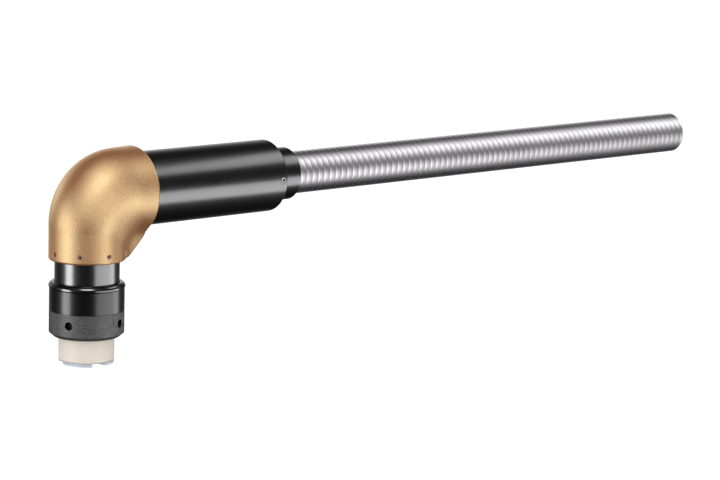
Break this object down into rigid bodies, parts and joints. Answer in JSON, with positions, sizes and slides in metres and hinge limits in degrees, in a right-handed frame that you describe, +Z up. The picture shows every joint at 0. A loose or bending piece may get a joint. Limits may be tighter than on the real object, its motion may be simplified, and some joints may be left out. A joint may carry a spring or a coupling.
{
  "type": "tig torch",
  "caption": "Right-angle machine TIG torch with a brass elbow, clamping barrel, retaining cap with ceramic nozzle, and a straight protective hose.",
  "frame": {"origin": "on the barrel's axis, in the middle of the barrel's visible length, where a clamp grips it", "axes": "+X along the barrel towards the hose, +Z up and away from the work, so the nozzle points along -Z"},
  "size_m": [0.6022, 0.06, 0.1458],
  "materials": {
    "elbow_brass": "fine bead-blasted satin, warm gold",
    "black_anodised": "black anodised, smooth satin",
    "black_polished": "black anodised, polished",
    "cap_black": "black anodised, satin body, polished lip, knurled grip",
    "nozzle_ceramic": "cream glazed ceramic",
    "tip_ceramic": "bluish white ceramic",
    "hose_steel": "bright stripwound steel",
    "screw_steel": "bright socket screws",
    "body_brass": "machined",
    "copper": "machined copper",
    "tungsten": "ground",
    "insulator_plastic": "machined insulating plastic",
    "lock_plastic": "glass filled plastic",
    "plate_steel": "laser cut plate",
    "seal_rubber": "smooth",
    "power_rubber": "smooth hose",
    "coolant_rubber": "smooth hose",
    "gas_rubber": "smooth hose",
    "sense_insulation": "wire insulation"
  },
  "bodies": {
    "torch": {"elbow_housing": "elbow_brass", "barrel_tube": "black_anodised", "hose_collar": "black_anodised", "protective_hose": "hose_steel", "hose_ferrule": "body_brass", "neck_tube": "black_polished", "elbow_set_screws": "screw_steel", "barrel_set_screws": "screw_steel", "insulator_sleeve": "insulator_plastic", "torch_body": "body_brass", "cooling_jacket": "body_brass", "body_lock_ring": "lock_plastic", "collet_body": "copper", "collet": "copper", "gas_diffuser": "body_brass", "power_fitting": "body_brass", "coolant_fitting": "body_brass", "gas_fitting": "body_brass", "crimp_ferrules": "screw_steel", "power_hose": "power_rubber", "copper_rope": "copper", "coolant_hose": "coolant_rubber", "gas_hose": "gas_rubber", "sense_lead": "sense_insulation", "lead_grommet": "seal_rubber", "front_clamp_plate": "plate_steel", "rear_clamp_plate": "plate_steel", "clamp_bolts": "screw_steel", "barrel_o_ring": "seal_rubber", "neck_o_ring": "seal_rubber", "nozzle_o_ring": "seal_rubber"},
    "nozzle_set": {"gas_nozzle": "nozzle_ceramic", "nozzle_tip": "tip_ceramic"},
    "cap": {"retaining_cap": "cap_black"},
    "electrode": {"electrode": "tungsten"}
  },
  "joints": [
    {"name": "cap_travel", "type": "slide", "parent": "torch", "child": "nozzle_set", "axis": [0, 0, -1], "range_m": [0, 0.0075]},
    {"name": "cap_turn", "type": "hinge", "parent": "nozzle_set", "child": "cap", "pos_m": [-0.09675, 0, -0.08], "axis": [0, 0, -1], "range_deg": [0, 1800]},
    {"name": "electrode_slide", "type": "slide", "parent": "torch", "child": "electrode", "axis": [0, 0, -1], "range_m": [-0.004, 0.012]}
  ],
  "couplings": [
    {"joint": "cap_travel", "follows": "cap_turn", "m_per_rad": 0.0002387}
  ]
}
